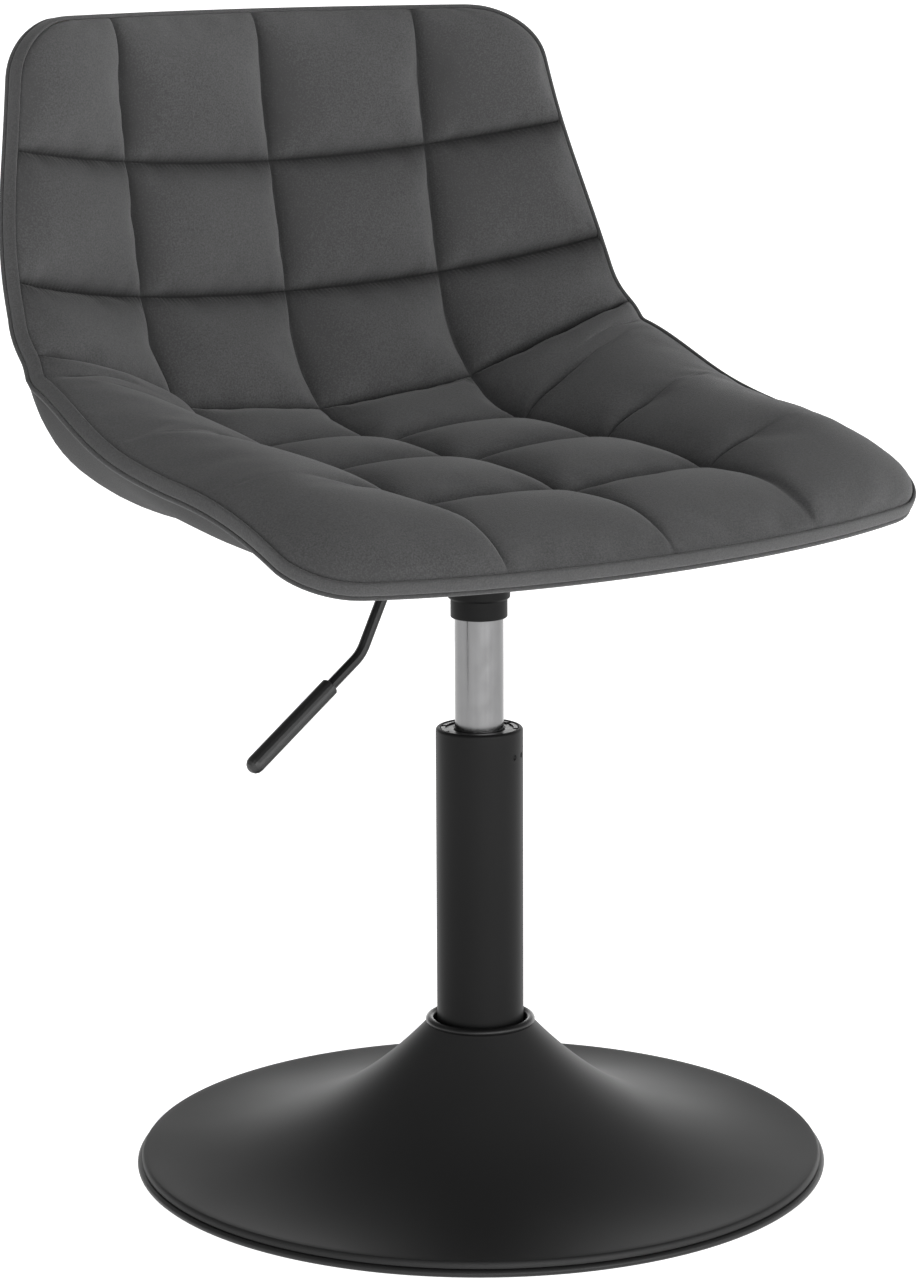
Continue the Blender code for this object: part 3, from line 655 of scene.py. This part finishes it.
def seam_tuck(x, s, u, v):
    """How far the stitching pulls the cover down beside each inner seam."""
    to_column = np.abs(beside_column(x))
    nearest = SEAT.knots[1:-1][:, None, None]
    to_row = np.min(np.abs(s[None] - nearest), axis=0)
    along_column = (1 - 0.65 * last_row(v)) * np.exp(-(to_column / SEAM_WIDTH) ** 2)
    along_row = (1 - run_out(u, v)) * np.exp(-(to_row / SEAM_WIDTH) ** 2)
    return SEAM_PULL * np.maximum(along_column, along_row)


def last_row(v):
    """1 on the front row of cushions, where the column seams are shallow."""
    return smooth((v - ROWS + 1) * 1.5)


def run_out(u, v):
    """1 on the bolsters towards the rim, where the row seams run out, and 0 on the back and between them."""
    beside = smooth((np.abs(u - COLUMNS / 2) - BOLSTER_FROM) / BOLSTER_OVER)
    return beside * smooth((v - BOLSTER_ROW) * 2) * smooth((ROWS - v - 0.2) * 2)


def seam_shade(x, s, u, v):
    """Painted shade on the pile: dark at each seam, fading further on a row seam's lower side, where the
    cushion above shades it, and on a column seam's +x side, on the flank turned from the light.
    """
    shade = COLUMN_PAINTED_SHADE * one_sided(beside_column(x), *COLUMN_SHADE) * (1 - 0.6 * last_row(v))
    for knot, dark in zip(SEAT.knots, ROW_PAINTED_SHADES):
        shade = np.maximum(shade, dark * one_sided(s - knot, *ROW_SHADE) * (1 - run_out(u, v)))
    return shade


def one_sided(gap, near, far, behind):
    """1 at a seam, fading over two distances on its positive side and fast on the other."""
    ahead = np.clip(gap, 0, None)
    fading = 0.6 * np.exp(-ahead / near) + 0.4 * np.exp(-ahead / far)
    return np.where(gap >= 0, fading, np.exp(np.clip(gap, None, 0) / behind))


def make_pad():
    x, s, u, v, top, normal = quilted_top()
    bottom = SEAT.layer_point(x, s, between(PAD_BOTTOM, SEAT.fade(x, s)))
    pad = grid_slab("quilted_pad", top, bottom)
    finish_piece(pad, quilted_velvet(), "seat", ["seat_pad"])
    crease_seams(pad, u, v)
    # the painted shade by the seams, kept on the upper points; the underside gets none
    shade = pad.data.attributes.new("seam_shade", "FLOAT", "POINT")
    shade.data.foreach_set("value", np.append(seam_shade(x, s, u, v).ravel(), np.zeros(x.size)))
    subdivide(pad, 1)


def crease_seams(pad, u, v):
    """Keeps the seams sharp through the subdivision."""
    columns, rows = on_column_seam(u).ravel(), stitched_rows(u, v).ravel()
    crease = pad.data.attributes.new("crease_edge", "FLOAT", "EDGE")
    count = columns.size
    for edge in pad.data.edges:
        a, b = edge.vertices
        if max(a, b) < count and ((columns[a] and columns[b]) or (rows[a] and rows[b])):
            crease.data[edge.index].value = 1.0


def subdivide(piece, levels):
    made = piece.modifiers.new("subdivision", "SUBSURF")
    made.levels = levels
    made.render_levels = levels


# ---- band and cover ------------------------------------------------------------------------------

def rim_places(step=5.0):
    """(x, s) of evenly spaced places round the seat's outline, clockwise from the top left."""
    s = np.linspace(0, SEAT.length, 900)
    width = SEAT.half_width(s)
    top = np.stack([np.linspace(-width[0], width[0], 300), np.zeros(300)], axis=1)
    right = np.stack([width, s], axis=1)
    front = np.stack([np.linspace(width[-1], -width[-1], 300), np.full(300, SEAT.length)], axis=1)
    left = np.stack([-width[::-1], s[::-1]], axis=1)
    loop = np.concatenate([top, right[1:], front[1:], left[1:-1]])
    points = SEAT.point(loop[:, 0], loop[:, 1])
    gone = np.append(0, np.cumsum(np.linalg.norm(np.diff(points, axis=0, append=points[:1]), axis=1)))
    count = int(round(gone[-1] / step))
    at = np.arange(count) * gone[-1] / count
    closed = np.concatenate([loop, loop[:1]])
    return np.interp(at, gone, closed[:, 0]), np.interp(at, gone, closed[:, 1])


def rim_frame(x, s):
    """Level, outward and upward directions round the outline."""
    level = SEAT.point(x, s)
    normal = SEAT.normal(x, s)
    ahead = np.roll(level, -1, axis=0) - np.roll(level, 1, axis=0)
    out = unit(np.cross(ahead, normal))
    inward = SEAT.point(np.zeros(1), np.array([SEAT.length / 2]))[0]
    out *= np.where(np.sum(out * (level - inward), axis=1) < 0, -1, 1)[:, None]
    return level, out, normal


def rim_loop(name, section, step=5.0):
    """Sweeps a closed section of (outward, down) points round the seat's outline."""
    x, s = rim_places(step)
    level, out, normal = rim_frame(x, s)
    lean = SEAT.flare(s) * np.clip(np.abs(x) / SEAT.half_width(s), 0, 1) ** 10
    rings = [level + out * (o + lean * d)[:, None] - normal * d for o, d in section]
    points = np.concatenate(rings)
    count, sides = len(x), len(section)
    faces = []
    for k in range(sides):
        n = (k + 1) % sides
        for i in range(count):
            j = (i + 1) % count
            faces.append((k * count + i, k * count + j, n * count + j, n * count + i))
    piece = mesh_object(name, points, faces)
    made = bmesh.new()
    made.from_mesh(piece.data)
    bmesh.ops.recalc_face_normals(made, faces=made.faces)
    made.to_mesh(piece.data)
    made.free()
    return piece


def round_section(out, down, radius, sides=8):
    return [(out + radius * math.cos(math.tau * k / sides), down + radius * math.sin(math.tau * k / sides))
            for k in range(sides)]


def make_band():
    lip = [(0.2, 1.3), (0.3, 0.2), (0.9, -0.4), (1.8, -0.5), (2.5, 0.2)]
    face = [(2.7, 1.5), (2.9, 3.5), (2.9, 5.5), (2.6, 6.9), (1.9, 7.6), (0.9, 7.5), (0.5, 5.0)]
    cloth = band_velvet()
    band = rim_loop("edge_band_strip", lip + face, 4.0)
    finish_piece(band, cloth, "seat", ["edge_band"])
    subdivide(band, 1)
    roll = rim_loop("lower_roll", round_section(1.5, 9.0, 1.3), 4.0)
    finish_piece(roll, cloth, "seat")


def make_cover():
    """The fabric drawn over the underside, from the band's lower seam."""
    even = np.linspace(-1, 1, 61)
    across = (even + np.sin(math.pi / 2 * even)) / 2
    rows, columns = np.meshgrid(SEAT.length * graded(80, 0.5), across, indexing="ij")
    x = columns * SEAT.half_width(rows)
    deep = np.maximum(SEAT.depth(rows), SHELL_BOTTOM[1] + 2.0)
    side = 1 - np.abs(columns) ** 8
    ends = np.clip(np.minimum(rows, SEAT.length - rows) / (1.2 * EDGE_FADE), 0, 1)
    depth = COVER_RIM + (deep - COVER_RIM) * side * np.sin(math.pi / 2 * ends)
    depth = np.maximum(depth, between(SHELL_BOTTOM, SEAT.fade(x, rows)) + COVER_CLEARANCE)
    outer = SEAT.layer_point(x, rows, depth)
    inner = SEAT.layer_point(x, rows, depth - COVER_CLOTH)
    floor = np.minimum(COVER_BOTTOM, inner[..., 2] - COVER_CLOTH)
    outer[..., 2] = np.maximum(outer[..., 2], floor)
    inner[..., 2] = np.maximum(inner[..., 2], outer[..., 2] + 0.75 * COVER_CLOTH)
    cover = grid_slab("under_cover_fabric", inner, outer)
    finish_piece(cover, cover_velvet(), "seat", ["under_cover"])


# ---- column and base -----------------------------------------------------------------------------

def arc(centre, radius, start, end, steps):
    """Points of an arc in an outline, angles in degrees."""
    return [(centre[0] + radius * math.cos(math.radians(start + (end - start) * k / steps)),
             centre[1] + radius * math.sin(math.radians(start + (end - start) * k / steps)))
            for k in range(steps + 1)]


def trumpet_height(r):
    t = (r - NECK_RADIUS) / (BASE_RADIUS - NECK_RADIUS)
    return BASE_RIM_HEIGHT + BASE_RISE * (1 - t) ** BASE_SWEEP


def make_base():
    sweep = BASE_RADIUS - 0.5 - NECK_OPENING
    radii = [NECK_OPENING + sweep * (k / 60) ** 1.3 for k in range(61)]
    outer = [(r, trumpet_height(r)) for r in reversed(radii)]
    inner = [(r - 0.8, trumpet_height(r) - BASE_WALL) for r in radii]
    rim = [(194.5, 4.6), (196.9, 4.6), (196.9, 6.3), (196.3, 7.6), (195.7, 8.35)]
    shell = lathe("trumpet_base", rim + outer + inner, 160, 50)
    finish_piece(shell, powder_coat(), "base", ["base_shell"])
    pad = lathe("floor_ring", [(0.0, 0.0), (197.6, 0.0)] + arc((197.4, 2.1), 2.1, -80, 80, 8)
                + [(196.4, 4.2), (0.0, 4.2)], 160, 50)
    finish_piece(pad, powder_coat("ring_coat", 0.016, 0.4), "base", ["floor_pad"])
    ring = lathe("neck_collar", [(25.6, 75.0), (28.4, 75.0), (28.4, 81.0)]
                 + arc((29.2, 83.2), 2.4, -75, 175, 14) + [(26.3, 82.0), (25.6, 80.6)], 96, 50)
    finish_piece(ring, gloss_plastic(), "base", ["neck_ring"])


def dent(piece, places, radius):
    """Presses small round dimples into a piece."""
    made = bmesh.new()
    for place in places:
        bmesh.ops.create_icosphere(made, subdivisions=3, radius=radius * MM,
                                   matrix=Matrix.Translation(Vector(place) * MM))
    balls = from_bmesh("balls", made)
    change = piece.modifiers.new("dents", "BOOLEAN")
    change.object = balls
    change.solver = "EXACT"
    seen = piece.evaluated_get(bpy.context.evaluated_depsgraph_get())
    dented = bpy.data.meshes.new_from_object(seen)
    dented.set_sharp_from_angle(angle=math.radians(20))
    piece.modifiers.clear()
    piece.data = dented
    bpy.data.objects.remove(balls)


def make_column():
    low, high = (Vector(c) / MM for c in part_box("column_tube"))
    top = high.z
    heights = [low.z, top - DENT_DROP - 2.5, top - DENT_DROP + 2.5, top - 1.8]
    outside = [(TUBE_RADIUS, z) for z in heights] + arc((TUBE_RADIUS - 1.8, top - 1.8), 1.8, 10, 90, 6)
    mouth = [(TUBE_BORE + 0.4, top), (TUBE_BORE, top - 0.6)]
    tube = lathe("column_sleeve", [(TUBE_BORE, low.z)] + outside + mouth, 96, 50)
    far = TUBE_RADIUS + 0.9
    turns = [math.radians(angle) for angle in DENT_ANGLES]
    dent(tube, [(far * math.cos(a), far * math.sin(a), top - DENT_DROP) for a in turns], DENT_BALL)
    coat = powder_coat("tube_coat", 0.009, 0.42, 0.11)
    finish_piece(tube, coat, "base", ["column_tube"])


def make_bush():
    """The guide bush, flush with the tube's mouth, and the split ring that keeps it in."""
    gloss = gloss_plastic()
    bush = lathe("guide_bush_moulded", [
        (14.3, 150.0), (21.2, 150.0), (22.1, 152.0), (22.1, 254.6), (19.0, 255.3), (15.4, 255.3),
        (14.6, 254.8), (14.3, 254.0),
    ], 96, 30)
    finish_piece(bush, gloss, "base", ["guide_bush"])
    ring = split_ring("split_retainer", [(19.6, 255.4), (21.9, 255.0), (21.9, 255.9), (19.6, 256.0)], 8, 36)
    finish_piece(ring, gloss, "base", ["bush_retainer"])


def split_ring(name, outline, count, degrees, sides=8):
    """Equal arcs of a closed (radius, height) outline round the column's axis."""
    made = bmesh.new()
    for k in range(count):
        start = math.tau * k / count
        rings = []
        for j in range(sides + 1):
            angle = start + math.radians(degrees) * j / sides
            rings.append([made.verts.new((r * MM * math.cos(angle), r * MM * math.sin(angle), z * MM))
                          for r, z in outline])
        for near, far in zip(rings, rings[1:]):
            for i in range(len(outline)):
                n = (i + 1) % len(outline)
                made.faces.new((near[i], near[n], far[n], far[i]))
        made.faces.new(rings[0])
        made.faces.new(rings[-1])
    return from_bmesh(name, made)


def make_lift():
    low, high = (Vector(c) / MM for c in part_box("gas_cylinder"))
    cylinder = lathe("cylinder_chromed", [
        (CYLINDER_BORE, low.z), (CYLINDER_RADIUS - 0.8, low.z), (CYLINDER_RADIUS, low.z + 0.8),
        (CYLINDER_RADIUS, 330.0), (12.8, 353.0), (11.6, high.z), (3.6, high.z), (3.6, CYLINDER_CEILING),
        (CYLINDER_BORE, CYLINDER_CEILING),
    ], 96, 30)
    finish_piece(cylinder, chrome(), "seat", ["gas_cylinder"])
    socket = lathe("socket_collar", [(SOCKET_BORE, 320.0), (15.4, 320.0)]
                   + arc((SOCKET_RADIUS - 0.9, 320.9), 0.9, -80, 0, 4)
                   + [(SOCKET_RADIUS, 330.4), (16.6, 330.9), (17.5, 331.4), (17.8, 331.9), (17.8, 347.6),
                      (15.9, 347.6), (15.9, 353.5), (13.2, 353.5), (SOCKET_BORE, 330.4)], 96, 30)
    coat = powder_coat("socket_coat", 0.008, 0.45, 0.1)
    finish_piece(socket, coat, "seat", ["taper_socket"])


def recoat_nodes():
    """Gives each CAD node that still shows its own finish."""
    coat = powder_coat("plate_coat", 0.013, 0.5)
    zinc = plated("zinc_plate", (0.55, 0.55, 0.53), 0.35)
    steel = plated("ground_steel", (0.5, 0.5, 0.51), 0.25)
    raw = plated("raw_steel", (0.22, 0.22, 0.23), 0.55)
    brass = plated("turned_brass", (0.65, 0.46, 0.2), 0.32)
    plastic = moulded_plastic("bush_plastic", 0.012, 0.4)
    black_rubber = rubber()
    wood = plywood()
    rod = chrome("rod_chrome", 0.6, 0.15)
    finishes = {
        "base_weight": raw, "foot_bolt": zinc, "foot_washer": zinc, "column_foot": raw,
        "column_end_plate": raw, "bearing_lower_race": steel, "bearing_upper_race": steel,
        "bearing_ball_cage": brass, "piston_rod": rod, "rod_clip": zinc,
        "rod_washer": zinc, "rubber_bumper": black_rubber, "piston_head": plastic, "piston_nut": zinc,
        "cylinder_gland": brass, "rod_seal": black_rubber, "valve_pin": rod, "lever_bridge": coat,
        "lever_pivot_pin": zinc, "seat_plate": coat, "mounting_board": wood, "seat_shell": wood,
        "lever_rod": powder_coat("lever_coat", 0.009, 0.3),
        "lever_grip": moulded_plastic("grip", 0.011, 0.42),
    }
    finishes.update({f"seat_bolt_{k}": zinc for k in range(1, 5)})
    finishes.update({f"tee_nut_{k}": zinc for k in range(1, 5)})
    for name, material in finishes.items():
        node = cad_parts[name]
        for slot in node.material_slots:
            slot.material = material


# ---- stage ---------------------------------------------------------------------------------------

def make_camera():
    data = bpy.data.cameras.new("camera")
    data.lens = CAMERA_LENS
    data.clip_end = 100.0
    camera = bpy.data.objects.new("camera", data)
    bpy.context.collection.objects.link(camera)
    turn = (Matrix.Rotation(CAMERA_TURN, 4, "Z")
            @ Matrix.Rotation(math.radians(90) - CAMERA_PITCH, 4, "X")
            @ Matrix.Rotation(CAMERA_ROLL, 4, "Z"))
    camera.matrix_world = Matrix.Translation(CAMERA_PLACE) @ turn
    bpy.context.scene.camera = camera


def make_floor():
    signs = ((-1, -1), (1, -1), (1, 1), (-1, 1))
    corners = [(FLOOR_REACH * a, FLOOR_REACH * b, 0) for a, b in signs]
    floor = mesh_object("floor", corners, [(0, 1, 2, 3)])
    made = Finish("floor_paper", (0.6, 0.6, 0.6), 0.9, Specular_IOR_Level=0.2, Emission_Strength=FLOOR_GLOW)
    made.set("Emission Color", (1.0, 1.0, 1.0, 1.0))
    made.tint(made.noise(3.0, 2.0), (0.59, 0.59, 0.59), (0.61, 0.61, 0.61))
    floor.data.materials.append(made.material)
    floor.location.z = -0.2 * MM


def lobe(tree, around, direction, sharpness, strength):
    """A soft glow in the sky round a direction."""
    facing = tree.nodes.new("ShaderNodeVectorMath")
    facing.operation = "DOT_PRODUCT"
    facing.inputs[1].default_value = Vector(direction).normalized()
    tree.links.new(around, facing.inputs[0])
    bounded = maths(tree, "MAXIMUM", facing.outputs["Value"], 0.0)
    return maths(tree, "MULTIPLY", maths(tree, "POWER", bounded, sharpness), strength)


def falloff(tree, around, sharpness):
    """1 at the horizon, and less overhead."""
    split = tree.nodes.new("ShaderNodeSeparateXYZ")
    tree.links.new(around, split.inputs["Vector"])
    below = maths(tree, "SUBTRACT", 1.0, split.outputs["Z"])
    below.node.use_clamp = True
    return maths(tree, "POWER", below, sharpness)


def make_light():
    """A soft studio: an even glow, brighter at the horizon, with soft boxes round it."""
    world = bpy.data.worlds.new("studio")
    bpy.context.scene.world = world
    world.use_nodes = True
    tree = world.node_tree
    around = tree.nodes.new("ShaderNodeTexCoord").outputs["Generated"]
    lobes = [lobe(tree, around, *box) for box in SOFT_BOXES]
    total = lobes[0]
    for value in lobes[1:]:
        total = maths(tree, "ADD", total, value)
    low = maths(tree, "MULTIPLY", total, falloff(tree, around, SKY_FALLOFF))
    edge = falloff(tree, around, HORIZON_SHARPNESS)
    horizon = maths(tree, "MULTIPLY_ADD", edge, HORIZON_GLOW, STUDIO_GLOW)
    background = tree.nodes["Background"]
    background.inputs["Color"].default_value = (1.0, 1.0, 1.0, 1.0)
    tree.links.new(maths(tree, "ADD", low, horizon), background.inputs["Strength"])
    bpy.context.scene.view_settings.view_transform = "Standard"


make_camera()
make_floor()
make_light()
make_pad()
make_band()
make_cover()
make_base()
make_column()
make_bush()
make_lift()
recoat_nodes()
